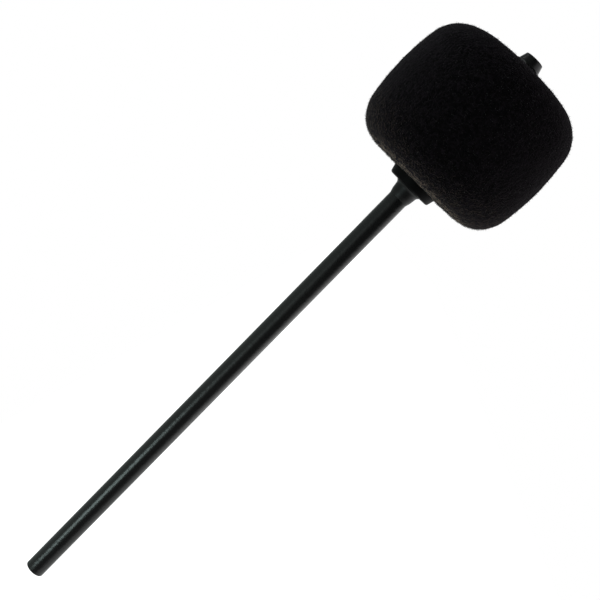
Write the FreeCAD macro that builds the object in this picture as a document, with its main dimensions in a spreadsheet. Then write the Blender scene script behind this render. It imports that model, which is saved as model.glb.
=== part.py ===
"""Bass drum beater: a steel rod that carries a crowned felt barrel, clamped by a lock nut.

The rod stands along +Z with the centre of its foot at the origin. Everything above the rod's shoulder
is a stack on one turned-down spigot: collar, flange, sleeved felt head, washer and nut.
"""
import FreeCAD, Part
import math
import os

import Sketcher

# Driving sizes in millimetres, in the order of the stack
SIZES = (
    ("rod_diameter", "6.35", "plain rod that the pedal's clamp grips"),
    ("rod_length", "164.0", "foot to the shoulder under the head"),
    ("foot_round", "0.4", "rounded edge of the rod's foot"),
    ("spigot_diameter", "5.4", "turned-down rod inside the head"),
    ("spigot_setback", "0.6", "spigot ends this far below the washer"),
    ("thread_diameter", "5.0", "threaded tip"),
    ("thread_proud", "0.1", "tip stands this far out of the nut"),
    ("thread_lead_in", "0.4", "chamfer at the tip"),
    ("collar_height", "4.35", "tapered ring on the rod's shoulder"),
    ("collar_nose_diameter", "6.4", "lower end, as wide as the rod"),
    ("collar_bend_diameter", "7.2", "where the wide taper turns into the slender one"),
    ("collar_bend_height", "1.35", "level of that turn above the shoulder"),
    ("collar_base_diameter", "7.84", "upper end of the slender taper"),
    ("collar_nose_chamfer", "0.1", "broken lower edge"),
    ("collar_flare", "0.7", "spread of the taper's upper end under the flange"),
    ("flange_height", "2.7", "thick washer under the felt"),
    ("flange_back_diameter", "14.8", "lower end of the flared side"),
    ("flange_face_diameter", "16.2", "face that carries the felt"),
    ("flange_edge_chamfer", "0.5", "lower outer edge"),
    ("felt_height", "44.4", "barrel, end to end"),
    ("felt_diameter", "56.2", "barrel at its widest"),
    ("felt_crown", "3.3", "how far the side bulges at mid height"),
    ("felt_edge_radius", "11.7", "rounding between side and ends"),
    ("sleeve_wall", "1.5", "tube that lines the felt's bore"),
    ("sleeve_lead_in", "0.3", "chamfer inside both ends of the tube"),
    ("washer_height", "1.2", "washer let into the felt's upper end"),
    ("washer_diameter", "15.0", "outside of that washer"),
    ("washer_sunk", "1.0", "how deep it lies in the felt"),
    ("washer_edge_chamfer", "0.2", "upper outer edge"),
    ("nut_across_flats", "8.0", "hexagon"),
    ("nut_height", "5.0", "hexagon and collar together"),
    ("nut_hexagon_height", "2.1", "height of the full corners"),
    ("nut_washer_face_diameter", "7.5", "round face left by the corner chamfer"),
    ("nut_collar_diameter", "7.7", "foot of the tapered collar"),
    ("nut_top_diameter", "6.2", "top of the tapered collar"),
    ("nut_top_chamfer", "0.2", "rolled-in upper edge"),
    ("nut_lead_in", "0.3", "countersink where the thread enters"),
    ("insert_diameter", "5.8", "outside of the nylon ring"),
    ("insert_height", "1.3", "nylon ring"),
    ("insert_lip", "0.4", "collar rolled over the ring"),
    ("insert_lip_overlap", "0.25", "how far that lip reaches in"),
    ("running_clearance", "0.05", "radial, between pieces that turn on each other"),
    ("seat_clearance", "0.03", "radial, between pieces fixed to each other"),
    ("recess_clearance", "0.3", "radial, between the washer and the felt"),
    ("cut_overrun", "0.5", "how far cuts run past the material"),
)
# Angles and pure numbers
NUT_TURN = 16.0
CHAMFER_SLOPE_SHARE = math.tan(math.radians(30))
HEXAGON_SIDES = 6
CORNER_SHARE = 1 / math.cos(math.pi / HEXAGON_SIDES)
FULL_TURN = 360
SAME_PLACE = 1e-4
# Numbers by which a sketch knows its own axes, and the points of a side
X_AXIS = -1
Y_AXIS = X_AXIS - 1
START = 1
END = START + 1
CENTRE = END + 1

document = FreeCAD.newDocument("BassDrumBeater")
sheet = document.addObject("Spreadsheet::Sheet", "Sizes")


class Size:
    """A length: its value now, and the sheet expression that drives it."""

    def __init__(self, value, words):
        self.value = value
        self.words = words

    def __add__(self, other):
        return Size(self.value + other.value, f"({self.words} + {other.words})")

    def __sub__(self, other):
        return Size(self.value - other.value, f"({self.words} - {other.words})")

    def __mul__(self, other):
        if isinstance(other, Size):
            return Size(self.value * other.value, f"({self.words} * {other.words})")
        return Size(self.value * other, f"({self.words} * {other!r})")

    def __truediv__(self, other):
        if isinstance(other, Size):
            return Size(self.value / other.value, f"({self.words} / {other.words})")
        return Size(self.value / other, f"({self.words} / {other!r})")


def write_sizes():
    """Fill the sheet and return each size by its name."""
    named = {}
    for row, (name, number, meaning) in enumerate(SIZES, start=1):
        sheet.set(f"A{row}", meaning)
        sheet.set(f"B{row}", number)
        sheet.setAlias(f"B{row}", name)
        named[name] = Size(float(number), f"{sheet.Name}.{name}")
    document.recompute()
    return named


size = write_sizes()
ZERO = Size(0, "0")


def new_body(label, height):
    """An empty piece whose own zero stands at that height on the axis."""
    body = document.addObject("PartDesign::Body", label)
    body.Label = label
    body.setExpression("Placement.Base.z", height.words)
    return body


def section_sketch(body, name):
    """Empty sketch in the plane through the axis: its own x is the radius, its own y the height."""
    sketch = body.newObject("Sketcher::SketchObject", name)
    plane = next(f for f in body.Origin.OriginFeatures if f.Role == "XZ_Plane")
    sketch.AttachmentSupport = [(plane, "")]
    sketch.MapMode = "FlatFace"
    return sketch


def bind(sketch, kind, length, *places):
    """Constraint of that kind, whose length the sheet drives."""
    number = sketch.addConstraint(Sketcher.Constraint(kind, *places, length.value))
    sketch.setExpression(f"Constraints[{number}]", length.words)


def bind_point(sketch, side, end, radius, height):
    """Hold a side's end or centre at that radius and height."""
    for kind, length, axis in (("DistanceX", radius, Y_AXIS), ("DistanceY", height, X_AXIS)):
        if length is ZERO:
            sketch.addConstraint(Sketcher.Constraint("PointOnObject", side, end, axis))
        else:
            bind(sketch, kind, length, X_AXIS, START, side, end)


def join(sketch, kind, sides):
    """Tie the end of each side to the start of the next one."""
    for side, following in zip(sides, sides[1:]):
        sketch.addConstraint(Sketcher.Constraint(kind, side, END, following, START))


def half_section(body, name, corners):
    """Closed outline of straight sides between (radius, height) corners, each bound to the sheet."""
    sketch = section_sketch(body, name)
    points = [FreeCAD.Vector(radius.value, height.value, 0) for radius, height in corners]
    for start, end in zip(points, points[1:] + points[:1]):
        sketch.addGeometry(Part.LineSegment(start, end), False)
    join(sketch, "Coincident", [*range(len(corners)), 0])
    for side, (radius, height) in enumerate(corners):
        bind_point(sketch, side, START, radius, height)
    return sketch


def spin(body, name, sketch, feature):
    """Full turn of a sketch about the axis."""
    turned = body.newObject(f"PartDesign::{feature}", name)
    turned.Profile = sketch
    turned.ReferenceAxis = (sketch, ["V_Axis"])
    turned.Angle = FULL_TURN
    document.recompute()


def turn(body, name, corners, feature="Revolution"):
    """Solid of revolution of that half section, or a turned cut when feature is Groove."""
    before = body.Shape.Volume if body.Tip else None
    spin(body, name, half_section(body, f"{name}_section", corners), feature)
    if feature == "Groove" and not body.Shape.Volume < before:
        raise ValueError(f"{body.Label}: {name} cuts nothing")


def round_edge(feature, radius, height):
    """Name of the feature's round edge with that radius, at that height."""
    for number, edge in enumerate(feature.Shape.Edges, start=1):
        if not isinstance(edge.Curve, Part.Circle):
            continue
        off = abs(edge.Curve.Radius - radius.value) + abs(edge.Curve.Center.z - height.value)
        if off < SAME_PLACE:
            return f"Edge{number}"
    raise ValueError(f"{feature.Label}: no edge of radius {radius.value} at height {height.value}")


def soften(body, kind, amount, places):
    """Fillet or Chamfer of that size on the round edges at those (radius, height) places."""
    base = body.Tip
    softened = body.newObject(f"PartDesign::{kind}", f"{body.Label}_{kind.lower()}")
    softened.Base = (base, [round_edge(base, radius, height) for radius, height in places])
    softened.setExpression("Radius" if kind == "Fillet" else "Size", amount.words)
    document.recompute()


def ring(body, inner, outer, height):
    """Plain ring standing on the body's own zero."""
    turn(body, f"{body.Label}_ring", [(inner, ZERO), (outer, ZERO), (outer, height), (inner, height)])


# Radii and heights that several pieces share
rod_radius = size["rod_diameter"] / 2
spigot_radius = size["spigot_diameter"] / 2
thread_radius = size["thread_diameter"] / 2
spigot_seat = spigot_radius + size["seat_clearance"]
spigot_bore = spigot_radius + size["running_clearance"]
thread_bore = thread_radius + size["running_clearance"]
sleeve_radius = spigot_bore + size["sleeve_wall"]
sleeve_height = size["felt_height"] - size["washer_sunk"]
washer_radius = size["washer_diameter"] / 2
flange_level = size["rod_length"] + size["collar_height"]
felt_level = flange_level + size["flange_height"]
washer_level = felt_level + sleeve_height
nut_level = washer_level + size["washer_height"]


def make_shaft():
    """Rod, shoulder, spigot and threaded tip, turned from one bar."""
    spigot_top = washer_level - size["spigot_setback"]
    tip = nut_level + size["nut_height"] + size["thread_proud"]
    body = new_body("shaft", ZERO)
    turn(body, "shaft_bar", [
        (ZERO, ZERO),
        (rod_radius, ZERO),
        (rod_radius, size["rod_length"]),
        (spigot_radius, size["rod_length"]),
        (spigot_radius, spigot_top),
        (thread_radius, spigot_top),
        (thread_radius, tip),
        (ZERO, tip),
    ])
    soften(body, "Fillet", size["foot_round"], [(rod_radius, ZERO)])
    soften(body, "Chamfer", size["thread_lead_in"], [(thread_radius, tip)])
    return body


def make_shoulder_collar():
    """Tapered ring that widens the rod's narrow shoulder, and spreads under the flange that it carries."""
    nose_radius = size["collar_nose_diameter"] / 2
    bend_radius = size["collar_bend_diameter"] / 2
    base_radius = size["collar_base_diameter"] / 2
    body = new_body("shoulder_collar", size["rod_length"])
    turn(body, "collar_taper", [
        (spigot_seat, ZERO),
        (nose_radius, ZERO),
        (bend_radius, size["collar_bend_height"]),
        (base_radius, size["collar_height"] - size["collar_flare"]),
        (base_radius + size["collar_flare"], size["collar_height"]),
        (spigot_seat, size["collar_height"]),
    ])
    soften(body, "Chamfer", size["collar_nose_chamfer"], [(nose_radius, ZERO)])
    return body


def make_lower_flange():
    """Thick washer, flared towards the felt that it carries."""
    back_radius = size["flange_back_diameter"] / 2
    face_radius = size["flange_face_diameter"] / 2
    body = new_body("lower_flange", flange_level)
    turn(body, "flange_flare", [
        (spigot_seat, ZERO),
        (back_radius, ZERO),
        (face_radius, size["flange_height"]),
        (spigot_seat, size["flange_height"]),
    ])
    soften(body, "Chamfer", size["flange_edge_chamfer"], [(back_radius, ZERO)])
    return body


def make_core_sleeve():
    """Hard tube between flange and washer, which keeps the nut from crushing the felt."""
    body = new_body("core_sleeve", felt_level)
    ring(body, spigot_bore, sleeve_radius, sleeve_height)
    soften(body, "Chamfer", size["sleeve_lead_in"], [(spigot_bore, ZERO), (spigot_bore, sleeve_height)])
    return body


def arc(sketch, centre, radius, angles):
    """Arc about (radius, height), from the first angle to the second."""
    middle = FreeCAD.Vector(*centre, 0)
    circle = Part.Circle(middle, FreeCAD.Vector(0, 0, 1), radius)
    sketch.addGeometry(Part.ArcOfCircle(circle, *angles), False)


def barrel_section(body):
    """Half section of the felt: flat ends, rim arcs and one crown arc, each tangent to its neighbours."""
    height = size["felt_height"]
    edge = size["felt_edge_radius"]
    crown = size["felt_crown"]
    widest = size["felt_diameter"] / 2
    crown_radius = (height * height / 4 + crown * crown) / (crown * 2)
    crown_centre = widest - crown_radius
    rise = height.value / 2 - edge.value
    reach = math.sqrt((crown_radius.value - edge.value) ** 2 - rise ** 2)
    rim_radius = crown_centre.value + reach
    lean = math.atan2(rise, reach)
    square = math.pi / 2
    sketch = section_sketch(body, "felt_barrel_section")
    corners = [
        FreeCAD.Vector(0, 0, 0),
        FreeCAD.Vector(rim_radius, 0, 0),
        FreeCAD.Vector(rim_radius, height.value, 0),
        FreeCAD.Vector(0, height.value, 0),
    ]
    sketch.addGeometry(Part.LineSegment(corners[0], corners[1]), False)
    arc(sketch, (rim_radius, edge.value), edge.value, (-square, -lean))
    arc(sketch, (crown_centre.value, height.value / 2), crown_radius.value, (-lean, lean))
    arc(sketch, (rim_radius, height.value - edge.value), edge.value, (lean, square))
    sketch.addGeometry(Part.LineSegment(corners[2], corners[3]), False)
    sketch.addGeometry(Part.LineSegment(corners[3], corners[0]), False)
    lower_end, lower_rim, side, upper_rim, upper_end, axis = range(sketch.GeometryCount)
    join(sketch, "Tangent", [lower_end, lower_rim, side, upper_rim, upper_end])
    join(sketch, "Coincident", [upper_end, axis, lower_end])
    sketch.addConstraint(Sketcher.Constraint("Coincident", lower_end, START, X_AXIS, START))
    sketch.addConstraint(Sketcher.Constraint("PointOnObject", lower_end, END, X_AXIS))
    sketch.addConstraint(Sketcher.Constraint("PointOnObject", upper_end, END, Y_AXIS))
    sketch.addConstraint(Sketcher.Constraint("Horizontal", upper_end))
    bind(sketch, "DistanceY", height, X_AXIS, START, upper_end, END)
    bind(sketch, "Radius", edge, lower_rim)
    bind(sketch, "Radius", edge, upper_rim)
    bind(sketch, "Radius", crown_radius, side)
    bind_point(sketch, side, CENTRE, crown_centre, height / 2)
    return sketch


def make_felt_head():
    """Pressed-felt barrel: crowned side, rounded edges, bore for the sleeve and recess for the washer."""
    height = size["felt_height"]
    bore = sleeve_radius + size["seat_clearance"]
    recess = washer_radius + size["recess_clearance"]
    body = new_body("felt_head", felt_level)
    spin(body, "felt_barrel", barrel_section(body), "Revolution")
    above = height + size["cut_overrun"]
    below = ZERO - size["cut_overrun"]
    turn(body, "felt_bore", [
        (ZERO, below),
        (bore, below),
        (bore, sleeve_height),
        (recess, sleeve_height),
        (recess, above),
        (ZERO, above),
    ], feature="Groove")
    return body


def make_upper_washer():
    """Stamped washer let into the felt's upper end."""
    body = new_body("upper_washer", washer_level)
    ring(body, thread_bore, washer_radius, size["washer_height"])
    soften(body, "Chamfer", size["washer_edge_chamfer"], [(washer_radius, size["washer_height"])])
    return body


def make_lock_nut():
    """Hexagon bar turned at both ends: chamfered corners below, tapered collar with a held ring above."""
    corner = size["nut_across_flats"] / 2 * CORNER_SHARE
    outside = corner + size["cut_overrun"]
    face_radius = size["nut_washer_face_diameter"] / 2
    collar_radius = size["nut_collar_diameter"] / 2
    top_radius = size["nut_top_diameter"] / 2
    recess = size["insert_diameter"] / 2 + size["seat_clearance"]
    lip_radius = size["insert_diameter"] / 2 - size["insert_lip_overlap"]
    height = size["nut_height"]
    above = height + size["cut_overrun"]
    below = ZERO - size["cut_overrun"]
    lip_level = height - size["insert_lip"]
    recess_level = lip_level - size["insert_height"]
    body = new_body("lock_nut", nut_level)
    body.Placement.Rotation = FreeCAD.Rotation(FreeCAD.Vector(0, 0, 1), NUT_TURN)
    hexagon = body.newObject("PartDesign::AdditivePrism", "nut_hexagon")
    hexagon.Polygon = HEXAGON_SIDES
    hexagon.setExpression("Circumradius", corner.words)
    hexagon.setExpression("Height", height.words)
    document.recompute()
    turn(body, "nut_corner_chamfer", [
        (face_radius, ZERO),
        (face_radius, below),
        (outside, below),
        (outside, (outside - face_radius) * CHAMFER_SLOPE_SHARE),
    ], feature="Groove")
    turn(body, "nut_collar", [
        (outside, size["nut_hexagon_height"] - size["cut_overrun"] * CHAMFER_SLOPE_SHARE),
        (collar_radius, size["nut_hexagon_height"] + (corner - collar_radius) * CHAMFER_SLOPE_SHARE),
        (top_radius, height),
        (top_radius, above),
        (outside, above),
    ], feature="Groove")
    turn(body, "nut_bore", [
        (ZERO, below),
        (thread_bore, below),
        (thread_bore, recess_level),
        (recess, recess_level),
        (recess, lip_level),
        (lip_radius, lip_level),
        (lip_radius, above),
        (ZERO, above),
    ], feature="Groove")
    soften(body, "Chamfer", size["nut_top_chamfer"], [(top_radius, height)])
    soften(body, "Chamfer", size["nut_lead_in"], [(thread_bore, ZERO)])
    return body


def make_nylon_insert():
    """Ring held in the nut's collar, which grips the thread."""
    level = nut_level + size["nut_height"] - size["insert_lip"] - size["insert_height"]
    body = new_body("nylon_insert", level)
    ring(body, thread_bore, size["insert_diameter"] / 2, size["insert_height"])
    return body


pieces = [
    make_shaft(),
    make_shoulder_collar(),
    make_lower_flange(),
    make_core_sleeve(),
    make_felt_head(),
    make_upper_washer(),
    make_lock_nut(),
    make_nylon_insert(),
]
document.recompute()

for made in document.Objects:
    if "Invalid" in made.State or "Error" in made.State:
        raise ValueError(f"{made.Label} failed: {made.State}")
    if made.isDerivedFrom("Sketcher::SketchObject") and not made.FullyConstrained:
        raise ValueError(f"{made.Label} is not held by its sizes")
for piece in pieces:
    if piece.Shape.isNull() or not piece.Shape.isValid():
        raise ValueError(f"{piece.Label} has no valid shape")

os.makedirs("parts", exist_ok=True)
for piece in pieces:
    piece.Shape.exportStep(f"parts/{piece.Label}.step")
    box = piece.Shape.BoundBox
    print(f"{piece.Label}: {piece.Shape.Volume:.1f} mm3, z {box.ZMin:.2f} to {box.ZMax:.2f}, "
          f"x {box.XMin:.2f} to {box.XMax:.2f}")
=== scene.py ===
import math

import bpy
import numpy as np
from mathutils import Matrix, Vector, noise


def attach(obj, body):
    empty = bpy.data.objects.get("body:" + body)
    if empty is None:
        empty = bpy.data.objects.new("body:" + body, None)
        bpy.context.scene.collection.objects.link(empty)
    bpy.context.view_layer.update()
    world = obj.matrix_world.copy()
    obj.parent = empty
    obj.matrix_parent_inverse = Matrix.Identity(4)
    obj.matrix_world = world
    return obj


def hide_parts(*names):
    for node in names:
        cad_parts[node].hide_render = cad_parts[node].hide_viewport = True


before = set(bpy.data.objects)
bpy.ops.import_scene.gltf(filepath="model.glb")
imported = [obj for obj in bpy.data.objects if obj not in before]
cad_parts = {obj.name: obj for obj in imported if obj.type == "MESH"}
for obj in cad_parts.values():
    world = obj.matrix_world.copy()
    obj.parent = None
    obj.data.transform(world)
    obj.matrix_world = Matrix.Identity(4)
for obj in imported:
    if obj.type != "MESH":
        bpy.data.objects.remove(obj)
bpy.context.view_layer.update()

# Shaft: one straight steel bar. The foot that goes into the pedal's clamp is rounded over, the upper end is
# turned down to a spigot for the head, and the tip carries a fine right-hand thread for the nut.
# The bar is dipped in a smooth black lacquer, which pulls thin lines along the rod.
MM = 0.001
TAU = 2 * math.pi
sharp_angle = math.radians(38)
rod_radius = 3.175
foot_round = 0.4
shoulder = 164.0
shoulder_round = 0.05
spigot_radius = 2.7
spigot_top = 213.85
spigot_round = 0.2
thread_radius = 2.5
thread_depth = 0.43
thread_pitch = 0.8
thread_flat = 0.14
thread_start = 0.2
thread_rows = 120
tip = 220.75
tip_chamfer = 0.4
tip_flat = 1.5
lacquer_dark = (0.0026, 0.0028, 0.0028)
lacquer_light = (0.0068, 0.0072, 0.007)


def softened(corners, steps=6, longest=3.0, closed=True):
    """Outline through (radius, height, rounding) corners, with long runs divided.

    A closed one also divides the run back to its first corner, and an open one ends at its last corner.
    """
    outline = []
    for number, (radius, height, rounding) in enumerate(corners):
        here = np.array((radius, height), float)
        if not rounding:
            outline.append(here)
            continue
        back = np.array(corners[number - 1][:2], float) - here
        ahead = np.array(corners[(number + 1) % len(corners)][:2], float) - here
        back /= np.linalg.norm(back)
        ahead /= np.linalg.norm(ahead)
        half = math.acos(back @ ahead) / 2
        centre = here + (back + ahead) / np.linalg.norm(back + ahead) * rounding / math.sin(half)
        first = here + back * rounding / math.tan(half) - centre
        last = here + ahead * rounding / math.tan(half) - centre
        swing = math.atan2(first[0] * last[1] - first[1] * last[0], first @ last)
        for angle in np.linspace(0, swing, steps + 1):
            turned = (first[0] * math.cos(angle) - first[1] * math.sin(angle),
                      first[0] * math.sin(angle) + first[1] * math.cos(angle))
            outline.append(centre + turned)
    end = outline[:1] if closed else outline[-1:]
    divided = []
    for here, ahead in zip(outline, outline[1:] + end):
        parts = max(1, math.ceil(np.linalg.norm(ahead - here) / longest))
        divided += [here + (ahead - here) * part / parts for part in range(parts)]
    return divided


def run(start, end, points):
    """Evenly spaced points of a straight side, both its ends among them."""
    return list(np.linspace(start, end, points))


def lathe(name, outline, around, shape=None):
    """Piece turned about the axis from (radius, height) points in millimetres, given bottom, outside, top.

    Points on the axis become poles, and an outline without them closes to a ring. shape takes angles,
    radii and heights, and gives other radii.
    """
    rows = np.array(outline, float)
    angles = np.arange(around) * TAU / around
    radii = np.repeat(rows[:, :1], around, axis=1)
    heights = np.repeat(rows[:, 1:], around, axis=1)
    if shape:
        radii = shape(angles, radii, heights)
    points, index = [], []
    for row, (radius, height) in enumerate(zip(radii, heights)):
        if rows[row, 0] == 0:
            index.append([len(points)] * around)
            points.append((0, 0, height[0] * MM))
            continue
        index.append(range(len(points), len(points) + around))
        points += zip(radius * np.cos(angles) * MM, radius * np.sin(angles) * MM, height * MM)
    faces = []
    solid = rows[0, 0] == 0
    for row in range(len(rows) - solid):
        lower, upper = index[row], index[(row + 1) % len(rows)]
        for column in range(around):
            following = (column + 1) % around
            ring = (lower[column], lower[following], upper[following], upper[column])
            faces.append(tuple(dict.fromkeys(ring)))
    mesh = bpy.data.meshes.new(name)
    mesh.from_pydata(points, [], faces)
    mesh.shade_smooth()
    mesh.set_sharp_from_angle(angle=sharp_angle)
    made = bpy.data.objects.new(name, mesh)
    bpy.context.scene.collection.objects.link(made)
    return made


class Wire:
    """An output of one finish's nodes. Arithmetic on wires and numbers adds Math nodes."""

    def __init__(self, tree, socket=None):
        self.tree = tree
        self.socket = socket

    def node(self, kind, settings, sockets, output=0):
        """Any other node: its settings first, then the values or wires of its sockets."""
        made = self.tree.nodes.new(f"ShaderNode{kind}")
        for setting, value in settings.items():
            setattr(made, setting, value)
        for name, value in sockets.items():
            if isinstance(value, Wire):
                self.tree.links.new(value.socket, made.inputs[name])
            else:
                made.inputs[name].default_value = value
        return Wire(self.tree, made.outputs[output])

    def maths(self, operation, first, second):
        """A Math node on two wires or numbers."""
        return self.node("Math", {"operation": operation}, {0: first, 1: second})

    def __add__(self, other):
        return self.maths("ADD", self, other)

    def __sub__(self, other):
        return self.maths("SUBTRACT", self, other)

    def __rsub__(self, other):
        return self.maths("SUBTRACT", other, self)

    def __mul__(self, other):
        return self.maths("MULTIPLY", self, other)

    __radd__ = __add__
    __rmul__ = __mul__


def new_finish(name, constants):
    """A material whose constant sockets are set, and a bare wire to start its nodes from."""
    finish = bpy.data.materials.new(name)
    finish.use_nodes = True
    shader = finish.node_tree.nodes["Principled BSDF"]
    for socket, value in constants.items():
        shader.inputs[socket].default_value = value
    return finish, Wire(finish.node_tree)


def wear_finish(piece, finish, varying):
    """Feed what varies into the finish's shader, and put it on the piece."""
    shader = finish.node_tree.nodes["Principled BSDF"]
    for socket, wire in varying.items():
        finish.node_tree.links.new(wire.socket, shader.inputs[socket])
    piece.data.materials.clear()
    piece.data.materials.append(finish)


def place(net, stretch=(1, 1, 1)):
    """Where a point sits on its piece, in metres, drawn out or pressed together along each axis."""
    spot = net.node("TexCoord", {}, {}, "Object")
    return net.node("VectorMath", {"operation": "MULTIPLY"}, {0: spot, 1: stretch})


def grain(net, spot, lumps, detail=2.0, roughness=0.5):
    """Noise from 0 to 1, with that many lumps to the metre."""
    sockets = {"Vector": spot, "Scale": lumps, "Detail": detail, "Roughness": roughness}
    return net.node("TexNoise", {}, sockets)


def rising(wire, start, end):
    """0 up to the start, 1 from the end on, and a smooth step between. The start may be the greater."""
    limits = {"Value": wire, "From Min": start, "From Max": end}
    return wire.node("MapRange", {"interpolation_type": "SMOOTHSTEP"}, limits)


def tint(mask, dark, light):
    """Colour between the two, by the mask. A Mix node's colours are its inputs 6 and 7 and its output 2."""
    sockets = {"Factor": mask, 6: (*dark, 1), 7: (*light, 1)}
    return mask.node("Mix", {"data_type": "RGBA"}, sockets, 2)


def relief(height, depth):
    """Normal of a surface on which a height of 1 stands for that depth in millimetres."""
    return height.node("Bump", {}, {"Height": height, "Distance": depth * MM, "Strength": 1.0})


def threaded(angles, radii, heights):
    """Cut the helix of the thread into the tip."""
    turn = (heights / thread_pitch - angles / TAU) % 1
    groove = np.clip((np.abs(2 * turn - 1) - thread_flat) / (1 - 2 * thread_flat), 0, 1)
    run_in = np.clip((heights - spigot_top - thread_start) / thread_pitch, 0, 1)
    cut = thread_radius - thread_depth * groove * run_in
    return np.where(heights > spigot_top, np.minimum(radii, cut), radii)


rod_outline = softened([
    (0, 0, 0),
    (rod_radius, 0, foot_round),
    (rod_radius, shoulder, shoulder_round),
    (spigot_radius, shoulder, 0),
    (spigot_radius, spigot_top, spigot_round),
    (thread_radius, spigot_top, 0),
], steps=8, closed=False)
# The spigot's rounding already ends at the last corner.
rod_outline = rod_outline[:-1]
rod_outline += run((thread_radius, spigot_top), (thread_radius, tip - tip_chamfer), thread_rows)[1:]
rod_outline += run((thread_radius, tip - tip_chamfer), (thread_radius - tip_chamfer, tip), points=5)[1:]
rod_outline += run((tip_flat, tip), (0, tip), points=3)
rod = lathe("rod", rod_outline, around=96, shape=threaded)

lacquer, net = new_finish("black_lacquer", {"IOR": 1.5, "Specular IOR Level": 0.44})
peel = grain(net, place(net), lumps=800)
drawn_lines = grain(net, place(net, stretch=(1, 1, 0.02)), lumps=5200, detail=3.0, roughness=0.6)
patches = grain(net, place(net, stretch=(1, 1, 0.25)), lumps=160, detail=4.0, roughness=0.6)
rubbed = rising(patches, start=0.55, end=0.72) * rising(drawn_lines, start=0.5, end=0.62)
wear_finish(rod, lacquer, {
    "Base Color": tint(0.3 * patches + 0.7 * rubbed, lacquer_dark, lacquer_light),
    "Roughness": 0.2 + 0.06 * drawn_lines + 0.12 * rubbed,
    "Normal": relief(peel + 0.35 * drawn_lines, depth=0.05),
})
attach(rod, "shaft")
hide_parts("shaft")

# Shoulder collar: a turned steel ring on the rod's shoulder. It tapers up from the rod's width and spreads in
# a hollow curve under the flange. It is lacquered with the rod, but the turning marks show as fine rings.
collar_foot = shoulder
collar_height = 4.35
collar_top = collar_foot + collar_height
collar_bore = 2.73
collar_nose_radius = 3.2
collar_nose_round = 0.04
collar_bend_radius = 3.6
collar_bend_height = 1.35
collar_bend_round = 2.0
collar_neck_radius = 3.92
collar_neck_round = 1.2
collar_flare = 0.7
collar_face_round = 0.1
collar_dark = (0.0015, 0.0015, 0.0015)
collar_light = (0.0046, 0.0046, 0.0045)
collar = lathe("collar_ring", softened([
    (collar_bore, collar_foot, 0),
    (collar_nose_radius, collar_foot, collar_nose_round),
    (collar_bend_radius, collar_foot + collar_bend_height, collar_bend_round),
    (collar_neck_radius, collar_top - collar_flare, collar_neck_round),
    (collar_neck_radius + collar_flare, collar_top, collar_face_round),
    (collar_bore, collar_top, 0),
], longest=0.8), around=96)

collar_lacquer, net = new_finish("collar_lacquer", {"IOR": 1.5, "Specular IOR Level": 0.25})
collar_rings = grain(net, place(net, stretch=(0.02, 0.02, 1)), lumps=7000, roughness=0.6)
collar_specks = grain(net, place(net), lumps=2600, detail=3.0)
wear_finish(collar, collar_lacquer, {
    "Base Color": tint(0.6 * collar_rings + 0.4 * collar_specks, collar_dark, collar_light),
    "Roughness": 0.36 + 0.14 * collar_specks,
    "Normal": relief(collar_rings + 0.5 * collar_specks, depth=0.01),
})
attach(collar, "shaft")
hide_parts("shoulder_collar")

# Lower flange: a thick steel washer whose side flares out towards the felt, with a rounded lower edge. It is
# seated on the collar and fixed to the shaft. Its black finish is duller and more grained than the rod's.
flange_height = 2.7
flange_top = collar_top + flange_height
flange_foot_radius = 7.4
flange_foot_round = 0.8
flange_face_radius = 8.1
flange_face_round = 0.18
flange_dark = (0.0004, 0.0004, 0.0004)
flange_light = (0.0016, 0.0015, 0.0015)
flange = lathe("flange_disc", softened([
    (collar_bore, collar_top, 0),
    (flange_foot_radius, collar_top, flange_foot_round),
    (flange_face_radius, flange_top, flange_face_round),
    (collar_bore, flange_top, 0),
], longest=0.8), around=120)

flange_lacquer, net = new_finish("flange_lacquer", {"IOR": 1.45, "Specular IOR Level": 0.07})
pits = grain(net, place(net), lumps=3200, detail=4.0, roughness=0.6)
flange_rings = grain(net, place(net, stretch=(0.05, 0.05, 1)), lumps=4200)
wear_finish(flange, flange_lacquer, {
    "Base Color": tint(pits, flange_dark, flange_light),
    "Roughness": 0.46 + 0.16 * pits,
    "Normal": relief(pits + 0.4 * flange_rings, depth=0.03),
})
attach(flange, "shaft")
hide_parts("lower_flange")

# Core sleeve: a hard black plastic tube that lines the felt's bore and stands between flange and washer.
# It is cut from extruded tube, so fine lines run along it, and both ends are broken inside.
sleeve_height = 43.4
sleeve_top = flange_top + sleeve_height
sleeve_bore = 2.75
sleeve_bore_round = 0.3
sleeve_radius = 4.25
sleeve_foot_round = 0.1
sleeve_top_round = 0.12
sleeve_dark = (0.02, 0.02, 0.02)
sleeve_light = (0.042, 0.042, 0.041)
sleeve = lathe("sleeve_tube", softened([
    (sleeve_bore, flange_top, sleeve_bore_round),
    (sleeve_radius, flange_top, sleeve_foot_round),
    (sleeve_radius, sleeve_top, sleeve_top_round),
    (sleeve_bore, sleeve_top, sleeve_bore_round),
], longest=4.0), around=72)

sleeve_plastic, net = new_finish("sleeve_plastic", {"IOR": 1.49})
sleeve_lines = grain(net, place(net, stretch=(1, 1, 0.01)), lumps=6000)
sleeve_cloud = grain(net, place(net), lumps=500, detail=3.0)
wear_finish(sleeve, sleeve_plastic, {
    "Base Color": tint(sleeve_cloud, sleeve_dark, sleeve_light),
    "Roughness": 0.42 + 0.15 * sleeve_cloud,
    "Normal": relief(sleeve_lines, depth=0.01),
})
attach(sleeve, "head")
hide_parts("core_sleeve")

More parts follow.
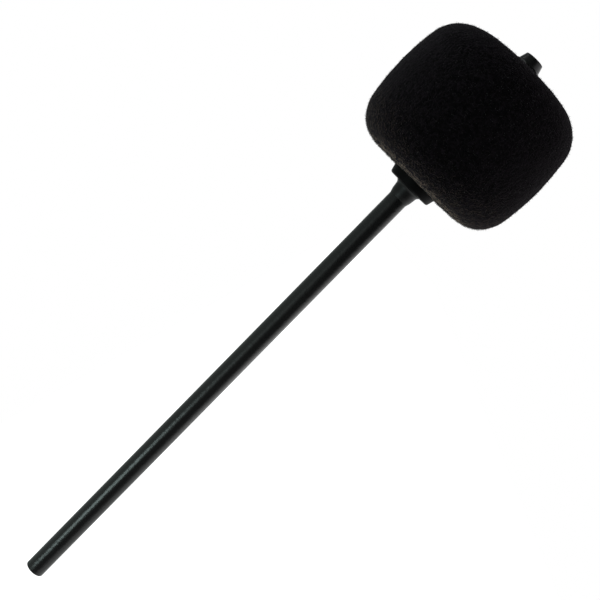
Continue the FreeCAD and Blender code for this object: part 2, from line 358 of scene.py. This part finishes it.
# Felt head: a barrel of dense black wool felt, pressed in a mould, with a crowned side and wide rounded rims.
# Its lower end is drawn in a little around the flange, and its upper end has a recess for the washer.
# The skin is lumpy and fibrous. Its raised nap along the lower rim is paler and has a strong sheen: partly
# pale dust, partly painted light from below.
felt_foot = flange_top
felt_height = 44.4
felt_top = felt_foot + felt_height
felt_middle = felt_foot + felt_height / 2
felt_radius = 28.1
felt_crown = 3.3
felt_rim = 11.7
felt_bore = 4.3
felt_bore_chamfer = 0.3
felt_foot_inside = 5.2
felt_rim_step = 0.7
recess_radius = 7.8
recess_round = 0.5
recess_step = 0.7
held_radius = 8.9
lift_height = 0.3
lift_width = 3.0
lift_fade = 2.0
lump_fade = 1.6
lump_sizes = ((130, 0.09, (0, 0, 0)), (420, 0.07, (7, 3, 1)), (1300, 0.05, (2, 9, 5)))
felt_dark = (0.0003, 0.00025, 0.0003)
felt_light = (0.05, 0.036, 0.05)
felt_sheen = (0.144, 0.112, 0.144, 1)
dust_and_painted_sheen_tint = (1.0, 0.77, 0.6, 1)
crown_radius = (felt_height ** 2 / 4 + felt_crown ** 2) / (2 * felt_crown)
crown_centre = felt_radius - crown_radius
rise = felt_height / 2 - felt_rim
reach = math.sqrt((crown_radius - felt_rim) ** 2 - rise ** 2)
rim_centre = crown_centre + reach
lean = math.atan2(rise, reach)


def arc(radius, height, size, start, end, points):
    """Points on a circle of that size about (radius, height), from the start angle to the end angle."""
    return [(radius + size * math.cos(angle), height + size * math.sin(angle))
            for angle in np.linspace(start, end, points)]


def between(value):
    """The value, held between 0 and 1."""
    return min(max(value, 0), 1)


def drawn_in(radius, height):
    """Lift the lower end beside the flange, and let the lift run out up the rim."""
    outward = between((radius - held_radius) / lift_width)
    fading = between(1 - (height - felt_foot) / lift_fade)
    return radius, height + lift_height * outward * fading


def unevenness(spot):
    """How far pressing and handling left the felt's skin out of true, in millimetres."""
    return sum(high * noise.noise(spot * count + Vector(shift)) for count, high, shift in lump_sizes)


flat_end = rim_centre - felt_rim_step
recess_edge = recess_radius + recess_round
felt_outline = [(felt_bore, felt_foot + felt_bore_chamfer), (felt_bore + felt_bore_chamfer, felt_foot)]
felt_outline += run((felt_foot_inside, felt_foot), (flat_end, felt_foot), points=15)
felt_outline += arc(rim_centre, felt_foot + felt_rim, felt_rim, -TAU / 4, -lean, points=26)
felt_outline += arc(crown_centre, felt_middle, crown_radius, -lean, lean, points=44)[1:-1]
felt_outline += arc(rim_centre, felt_top - felt_rim, felt_rim, lean, TAU / 4, points=26)
felt_outline += run((flat_end, felt_top), (recess_edge + recess_step, felt_top), points=12)
felt_outline += arc(recess_edge, felt_top - recess_round, recess_round, TAU / 4, TAU / 2, points=6)
felt_outline += [(recess_radius, sleeve_top), (felt_bore, sleeve_top), (felt_bore, felt_middle)]
felt = lathe("felt_barrel", [drawn_in(*point) for point in felt_outline], around=360)

felt_skin = felt.data
moved = []
for vertex in felt_skin.vertices:
    across = math.hypot(vertex.co.x, vertex.co.y) / MM
    free = between((across - held_radius) / lump_fade)
    moved.append(vertex.co + vertex.normal * (unevenness(vertex.co) * free * MM))
for vertex, spot in zip(felt_skin.vertices, moved):
    vertex.co = spot
felt_skin.update()


def strands(net, lumps, width):
    """Thin tangled lines, 1 along each and 0 between."""
    swirl = 2 * grain(net, place(net), lumps, detail=1.0) - 1
    return rising(swirl * swirl, start=width, end=0.0)


def lower_rim(net, extent, full=0.2):
    """1 at the felt's lower end, fading out up the rim between these heights in millimetres."""
    height = net.node("SeparateXYZ", {}, {"Vector": place(net)}, "Z")
    return rising(height, start=(felt_foot + extent) * MM, end=(felt_foot + full) * MM)


black_felt, net = new_finish("black_felt", {
    "Specular IOR Level": 0.05,
    "Sheen Weight": 0.27,
    "Sheen Roughness": 0.35,
    "Sheen Tint": felt_sheen,
})
long_strands = strands(net, lumps=760, width=0.03)
short_strands = strands(net, lumps=1700, width=0.05)
tufts = grain(net, place(net), lumps=620, detail=4.0, roughness=0.6)
felt_cloud = grain(net, place(net), lumps=120, detail=3.0)
fibres = 0.55 * long_strands + 0.45 * short_strands
tangle = fibres * rising(tufts, start=0.3, end=0.65) + 0.1 * felt_cloud
# The lower rim's specks are pale dust and also paint light from below there, as a paler colour and a strong
# sheen.
dust_and_light_specks = rising(grain(net, place(net), lumps=760), start=0.47, end=0.56)
dust_and_painted_light = dust_and_light_specks * (0.78 * lower_rim(net, extent=1.7) + 0.2 * lower_rim(net, extent=18))
skin = {
    "Base Color": tint(0.1 * tangle + 0.1 * dust_and_painted_light * tangle, felt_dark, felt_light),
    "Roughness": 0.86 + 0.12 * tufts,
    "Normal": relief(0.6 * long_strands + 0.5 * short_strands + tufts, depth=0.22),
}
wear_finish(felt, black_felt, skin)
# Sheen is the same all over a shader, so the lower rim's nap is a shader of its own: pale dust, with a strong
# painted sheen for light from below.
dust_and_painted_sheen_nap = {
    "Specular IOR Level": 0.05,
    "Sheen Weight": 0.75,
    "Sheen Roughness": 0.2,
    "Sheen Tint": dust_and_painted_sheen_tint,
}
clean = Wire(net.tree, net.tree.nodes["Principled BSDF"].outputs["BSDF"])
napped = net.node("BsdfPrincipled", {}, {**skin, **dust_and_painted_sheen_nap})
joined = net.node("MixShader", {}, {"Fac": dust_and_painted_light, 1: clean, 2: napped})
net.tree.links.new(joined.socket, net.tree.nodes["Material Output"].inputs["Surface"])
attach(felt, "head")
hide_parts("felt_head")

# Felt fuzz: loose wool ends that stand off the barrel's skin. Each is a short tapered hair that leaves the
# skin at a slant and bends over. The hairs stand closer on the lower end, and are paler and browner there:
# partly dust, partly painted light from below.
fuzz_hairs = 20000
fuzz_seed = 12
fuzz_margin = 0.6
underside_slope = -0.6
underside_share = 3.5
hair_length = (0.25, 0.95)
hair_trim = (0.4, 1)
hair_radius = (0.014, 0.05)
hair_taper = (1, 0.75)
hair_root = 0.06
hair_slant = (0.2, 1.3)
hair_stand = 0.6
hair_stray = 0.6
wool_dark = (0.0016, 0.0016, 0.0016)
wool_light = (0.15, 0.14, 0.13)


def unit(vectors):
    """Vectors of the same directions, each of length 1."""
    return vectors / np.linalg.norm(vectors, axis=1, keepdims=True)


draw = np.random.default_rng(fuzz_seed)
one_each = (fuzz_hairs, 1)
patch_count = len(felt_skin.polygons)
patch_area = np.empty(patch_count)
patch_spot = np.empty(patch_count * 3)
patch_normal = np.empty(patch_count * 3)
felt_skin.polygons.foreach_get("area", patch_area)
felt_skin.polygons.foreach_get("center", patch_spot)
felt_skin.polygons.foreach_get("normal", patch_normal)
patch_spot = patch_spot.reshape(-1, 3) / MM
patch_normal = patch_normal.reshape(-1, 3)
patch_area[np.hypot(patch_spot[:, 0], patch_spot[:, 1]) < held_radius + fuzz_margin] = 0
patch_area[patch_normal[:, 2] < underside_slope] *= underside_share
chosen = draw.choice(patch_count, fuzz_hairs, p=patch_area / patch_area.sum())
root, away = patch_spot[chosen], patch_normal[chosen]
along = unit(np.cross(away, unit(draw.normal(size=(fuzz_hairs, 3)))))
aside = np.cross(away, along)
half_length = draw.uniform(*hair_length, one_each) * draw.uniform(*hair_trim, one_each) * 0.5
slant = draw.uniform(*hair_slant, one_each)
lower_half = unit(away + along * slant)
upper_half = unit(away * hair_stand + along * slant + aside * draw.normal(0, hair_stray, one_each))
bend = root + lower_half * half_length
hair_tip = bend + upper_half * half_length
thick = draw.uniform(*hair_radius, one_each)
hair_corners = []
for station, share in zip((root - away * hair_root, bend), hair_taper):
    for angle in (0, TAU / 3, 2 * TAU / 3):
        sideways = aside * math.cos(angle) + np.cross(lower_half, aside) * math.sin(angle)
        hair_corners.append(station + sideways * thick * share)
hair_corners.append(hair_tip)
hair_faces = [(2, 1, 0), (0, 1, 4, 3), (1, 2, 5, 4), (2, 0, 3, 5), (3, 4, 6), (4, 5, 6), (5, 3, 6)]
fuzz_points = np.stack(hair_corners, axis=1).reshape(-1, 3) * MM
fuzz_faces = []
for hair in range(fuzz_hairs):
    fuzz_faces += [tuple(hair * len(hair_corners) + corner for corner in face) for face in hair_faces]
fuzz_mesh = bpy.data.meshes.new("felt_fuzz")
fuzz_mesh.from_pydata(fuzz_points.tolist(), [], fuzz_faces)
fuzz_mesh.shade_smooth()
fuzz = bpy.data.objects.new("felt_fuzz", fuzz_mesh)
bpy.context.scene.collection.objects.link(fuzz)

wool, net = new_finish("black_wool", {
    "Specular IOR Level": 0.1,
    "Sheen Weight": 0.12,
    "Sheen Roughness": 0.5,
})
dye = grain(net, place(net), lumps=900)
# Paler towards the lower end: partly dust, partly painted light from below.
dust_and_painted_light_share = 0.09 + 0.21 * lower_rim(net, extent=16) + 0.2 * lower_rim(net, extent=2.6)
wear_finish(fuzz, wool, {
    "Base Color": tint(rising(dye, start=0.35, end=0.7) * dust_and_painted_light_share, wool_dark, wool_light),
    "Roughness": 0.7 + 0.2 * dye,
})
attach(fuzz, "head")

# Upper washer: a stamped steel washer let into the felt's upper end, under the nut. Stamping rounded its
# upper edge, and it is blackened in an oil bath, so the steel's grain shows through.
washer_height = 1.2
washer_top = sleeve_top + washer_height
washer_bore = 2.55
washer_bore_foot_round = 0.08
washer_bore_top_round = 0.1
washer_radius = 7.5
washer_foot_round = 0.06
washer_top_round = 0.25
washer_dark = (0.004, 0.004, 0.004)
washer_light = (0.014, 0.0135, 0.013)
washer = lathe("washer_disc", softened([
    (washer_bore, sleeve_top, washer_bore_foot_round),
    (washer_radius, sleeve_top, washer_foot_round),
    (washer_radius, washer_top, washer_top_round),
    (washer_bore, washer_top, washer_bore_top_round),
], longest=0.7), around=120)


def blackened(name):
    """Black oxide on steel, with stains where the oil dried and the grit of the steel below."""
    finish, net = new_finish(name, {"IOR": 1.6, "Specular IOR Level": 0.57})
    stain = grain(net, place(net), lumps=420, detail=4.0, roughness=0.6)
    grit = grain(net, place(net), lumps=5200, detail=3.0)
    return finish, net, stain, grit


washer_oxide, net, washer_stain, washer_grit = blackened("washer_oxide")
wear_finish(washer, washer_oxide, {
    "Base Color": tint(0.6 * washer_stain + 0.4 * washer_grit, washer_dark, washer_light),
    "Roughness": 0.34 + 0.2 * washer_stain,
    "Normal": relief(washer_grit, depth=0.012),
})
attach(washer, "washer")
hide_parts("upper_washer")

# Lock nut: a small hexagon nut turned at both ends. The corners are chamfered below, and above them the blank
# runs into a tapered collar, whose edge is rolled in over a ring. The edges have lost some of their black.
nut_foot = washer_top
nut_height = 5.0
nut_bore = 2.55
nut_lead_in = 0.3
nut_flat = 4.0
nut_corner = nut_flat / math.cos(TAU / 12)
nut_corner_angle = math.radians(16)
nut_slope = math.tan(math.radians(30))
nut_face_inside = 3.3
nut_face_radius = 3.75
nut_collar_radius = 3.85
nut_collar_inset = 0.02
nut_collar_step = 0.05
nut_top_radius = 3.1
nut_top_round = 0.12
nut_side_points = 12
hexagon_height = 2.1
blank_margin = 0.15
ring_radius = 2.9
ring_room = 0.03
ring_low = 3.3
ring_high = 4.6
lip_radius = 2.65
edge_blend = 0.035
corner_wear = 0.16
corner_wear_depth = 0.05
edge_wear = 0.12
edge_wear_depth = 0.1
lip_wear = 0.1
lip_wear_depth = 0.07
lip_wear_share = 0.5
nut_dark = (0.0006, 0.0006, 0.0006)
nut_light = (0.014, 0.0137, 0.013)


def hexagon(angles):
    """Radius of the hexagon at each angle."""
    off = (angles - nut_corner_angle) % (TAU / 6) - TAU / 12
    return nut_flat / np.cos(off)


def hexagonal(angles, radii, heights):
    """Keep the turned blank inside the hexagon, with slightly rounded edges between the two."""
    flats = np.broadcast_to(hexagon(angles), radii.shape)
    return -edge_blend * np.logaddexp(-radii / edge_blend, -flats / edge_blend)


def near(distance, width):
    """1 at no distance, fading out within about twice the width."""
    return np.exp(-(distance / width) ** 2)


blank_radius = nut_corner + blank_margin
chamfer_top = (blank_radius - nut_face_radius) * nut_slope
cone_top = hexagon_height + (nut_corner - nut_collar_radius) * nut_slope
cone_foot = cone_top - (blank_radius - nut_collar_radius) * nut_slope
nut_profile = [(nut_bore, nut_lead_in), (nut_bore + nut_lead_in, 0.0), (nut_face_inside, 0.0)]
nut_profile += run((nut_face_radius, 0.0), (blank_radius, chamfer_top), nut_side_points)
nut_profile += run((blank_radius, chamfer_top), (blank_radius, cone_foot), nut_side_points)[1:-1]
nut_profile += run((blank_radius, cone_foot), (nut_collar_radius, cone_top), nut_side_points)
nut_profile += softened([
    (nut_collar_radius - nut_collar_inset, cone_top + nut_collar_step, 0),
    (nut_top_radius, nut_height, nut_top_round),
    (lip_radius, nut_height, nut_top_round),
    (lip_radius, ring_high, 0),
    (ring_radius + ring_room, ring_high, 0),
    (ring_radius + ring_room, ring_low, 0),
    (nut_bore, ring_low, 0),
], longest=0.4, closed=False)
nut_outline = [(radius, nut_foot + height) for radius, height in nut_profile]
nut = lathe("nut", nut_outline, around=144, shape=hexagonal)

worn = nut.data.attributes.new("worn", "FLOAT", "POINT")
nut_spots = np.array([vertex.co for vertex in nut.data.vertices]) / MM
nut_angles = np.arctan2(nut_spots[:, 1], nut_spots[:, 0])
nut_radii = np.hypot(nut_spots[:, 0], nut_spots[:, 1])
nut_heights = nut_spots[:, 2] - nut_foot
to_corner = (nut_angles - nut_corner_angle + TAU / 12) % (TAU / 6) - TAU / 12
chamfer_radii = nut_face_radius + nut_heights / nut_slope
cone_radii = nut_collar_radius + (cone_top - nut_heights) / nut_slope
to_edge = np.minimum(chamfer_radii, cone_radii) - hexagon(nut_angles)
to_lip = nut_heights - nut_height + lip_wear_depth
on_corner = near(to_corner * nut_radii, corner_wear) * (nut_radii > nut_flat - corner_wear_depth)
on_edge = near(to_edge, edge_wear) * (nut_radii > nut_flat - edge_wear_depth)
on_lip = lip_wear_share * near(to_lip, lip_wear) * (nut_radii > lip_radius)
worn.data.foreach_set("value", np.clip(np.maximum.reduce([on_corner, on_edge, on_lip]), 0, 1))

nut_oxide, net, nut_stain, nut_grit = blackened("nut_oxide")
worn_edges = net.node("Attribute", {"attribute_name": "worn"}, {}, "Fac")
bare = rising(worn_edges * (0.5 + nut_stain), start=0.45, end=1.1)
wear_finish(nut, nut_oxide, {
    "Base Color": tint(0.25 * nut_stain + 0.1 * nut_grit + 0.6 * bare, nut_dark, nut_light),
    "Roughness": 0.22 + 0.16 * nut_stain,
    "Metallic": 0.5 * bare,
    "Normal": relief(nut_grit, depth=0.01),
})
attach(nut, "nut")
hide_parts("lock_nut")

# Nylon insert: a plain ring of natural nylon, pressed into the nut's collar and held by the rolled edge.
# The thread has to cut its own way through it, which is what locks the nut.
ring_foot = nut_foot + ring_low
ring_top = nut_foot + ring_high
ring_side_round = 0.06
ring_bore_foot_round = 0.1
ring_bore_top_round = 0.12
nylon_dark = (0.46, 0.45, 0.4)
nylon_light = (0.62, 0.61, 0.57)
nylon_ring = lathe("nylon_ring", softened([
    (nut_bore, ring_foot, ring_bore_foot_round),
    (ring_radius, ring_foot, ring_side_round),
    (ring_radius, ring_top, ring_side_round),
    (nut_bore, ring_top, ring_bore_top_round),
], longest=0.4), around=96)

nylon, net = new_finish("nylon", {"IOR": 1.53, "Subsurface Weight": 0.15, "Subsurface Scale": 0.0004})
milk = grain(net, place(net), lumps=1500, detail=3.0)
wear_finish(nylon_ring, nylon, {
    "Base Color": tint(milk, nylon_dark, nylon_light),
    "Roughness": 0.35 + 0.15 * milk,
    "Normal": relief(milk, depth=0.01),
})
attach(nylon_ring, "nut")
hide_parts("nylon_insert")

# Studio: a white table below the foot, which ends short of the camera and close on the left, and a white
# wall behind. The room is bright on the right, dim and cool on the left, and dark on the camera's side.
# A low strip lamp stands in front on the left, and a weak square one hangs on the left.
table_level = -0.25
table_left = -0.12
table_right = 0.95
table_front = -0.28
table_back = 12
table_shine = 0.55
table_dark = (0.8, 0.8, 0.8)
table_light = (0.82, 0.82, 0.82)
table_unlit = (0.0, 0.0, 0.0)
table_shown = (0.92, 0.92, 0.92)
dark_light = 0.02
floor_light = 0.1
bright_way = (0.3, 1, -0.6)
bright_soft_light = 0.6
bright_soft_loss = 0.32
bright_light = 0.96
bright_ceiling_loss = 0.32
bright_floor_light = 0.4
bright_strip_light = 0.5
dim_light = 0.29
dim_floor_light = 0.05
dim_ceiling_loss = 0.24
window_way = (0.77, -0.08, 0.63)
window_light = 0.42
glow_way = (-0.45, -0.865, -0.22)
glow_light = 0.2
fill_light = 0.52
fill_ceiling_loss = 0.2
plain_light = (1, 1, 1)
cool_light = (0.88, 1, 0.955)
scene = bpy.context.scene
scene.view_settings.view_transform = "Standard"
table_mesh = bpy.data.meshes.new("table")
table_mesh.from_pydata([
    (table_left, table_front, table_level),
    (table_right, table_front, table_level),
    (table_right, table_back, table_level),
    (table_left, table_back, table_level),
], [], [(0, 1, 2, 3)])
table = bpy.data.objects.new("table", table_mesh)
scene.collection.objects.link(table)


def ray(net, kind):
    """1 for rays of that kind, otherwise 0."""
    return net.node("LightPath", {}, {}, f"Is {kind} Ray")


def mirroring(net):
    """1 for what a shiny or clear surface shows, otherwise 0."""
    return ray(net, "Glossy") + ray(net, "Transmission")


def facing(net, way):
    """How far a ray into the room points that way: x is right, y is behind and z is up."""
    toward = net.node("TexCoord", {}, {}, "Generated")
    return net.node("VectorMath", {"operation": "DOT_PRODUCT"}, {0: toward, 1: way}, "Value")


table_white, net = new_finish("table_white", {
    "Roughness": 0.9,
    "Specular IOR Level": 0.1,
    "Emission Strength": 1.0,
})
mottle = grain(net, place(net), lumps=3)
shown = ray(net, "Camera") + table_shine * mirroring(net)
wear_finish(table, table_white, {
    "Base Color": tint(mottle, table_dark, table_light),
    "Emission Color": tint(shown, table_unlit, table_shown),
})

room = bpy.data.worlds.new("room")
scene.world = room
room.use_nodes = True
net = Wire(room.node_tree)
right = facing(net, (1, 0, 0))
behind = facing(net, (0, 1, 0))
up = facing(net, (0, 0, 1))
mirrored = mirroring(net)
floor = rising(up, start=0.1, end=-0.25)
ceiling = rising(up, start=0.15, end=0.5)
strip = rising(up, start=-0.05, end=-0.14) * rising(up, start=-0.32, end=-0.24)
left = rising(right, start=0.15, end=-0.6)
bright = rising(facing(net, bright_way), start=-0.28, end=0.57) * rising(right, start=-0.4, end=0.2)
# Matt surfaces take their light from a softer room than the one that shiny surfaces mirror.
soft_bright = bright_soft_light - bright_soft_loss * rising(up, start=-0.3, end=0.1)
sharp_bright = (bright_light - bright_ceiling_loss * ceiling
                + bright_floor_light * floor + bright_strip_light * strip)
bright_side = (soft_bright + mirrored * (sharp_bright - soft_bright)) * bright
dim_side = (dim_light + dim_floor_light * floor - dim_ceiling_loss * mirrored * ceiling) * left
window = window_light * mirrored * rising(facing(net, window_way), start=0.84, end=0.97)
glow = glow_light * rising(facing(net, glow_way), start=0.95, end=0.995)
fill = (fill_light - fill_ceiling_loss * ceiling) * (1 - mirrored)
level = dark_light + floor_light * floor + bright_side + dim_side + window + glow + fill
wall = rising(behind, start=0.75, end=0.97) * mirrored + ray(net, "Camera")
cool = tint(left * (1 - wall), plain_light, cool_light)
background = room.node_tree.nodes["Background"]
room.node_tree.links.new(cool.socket, background.inputs["Color"])
room.node_tree.links.new((wall + (1 - wall) * level).socket, background.inputs["Strength"])


def lamp(name, spot, aim, size, watts, colour):
    """A soft lamp of that width and height at that spot, turned to its aim."""
    light = bpy.data.lights.new(name, "AREA")
    light.shape = "RECTANGLE"
    light.size, light.size_y = size
    light.energy = watts
    light.color = colour
    made = bpy.data.objects.new(name, light)
    made.location = spot
    made.rotation_euler = (Vector(aim) - Vector(spot)).to_track_quat("-Z", "Y").to_euler()
    scene.collection.objects.link(made)


lamp("low_lamp", spot=(-0.405, -0.7, -0.289), aim=(0, 0, 0.03), size=(0.38, 0.15), watts=1.12,
     colour=(0.78, 1.0, 0.98))
lamp("left_lamp", spot=(-0.9, 0.1, 0.56), aim=(0, 0, 0.19), size=(0.4, 0.4), watts=0.3,
     colour=(1.0, 1.0, 1.0))

# Camera: level with the neck, a third of a metre in front of it and tipped slightly down. It is rolled, so
# that the rod runs from the lower left to the upper right.
camera_spot = Vector((0.27, -332.3, 164.0)) * MM
pitch = math.radians(-7.3)
roll = math.radians(44.50167)
camera_right = Vector((1, 0, 0))
camera_up = Vector((0, -math.sin(pitch), math.cos(pitch)))
camera_ahead = Vector((0, math.cos(pitch), math.sin(pitch)))
lens = bpy.data.cameras.new("camera")
lens.lens = 66
lens.sensor_width = 36
lens.clip_start = 0.01
camera = bpy.data.objects.new("camera", lens)
axes = (
    camera_right * math.cos(roll) + camera_up * math.sin(roll),
    camera_up * math.cos(roll) - camera_right * math.sin(roll),
    -camera_ahead,
)
camera.matrix_world = Matrix.Translation(camera_spot) @ Matrix(axes).transposed().to_4x4()
scene.collection.objects.link(camera)
scene.camera = camera

bpy.context.view_layer.update()
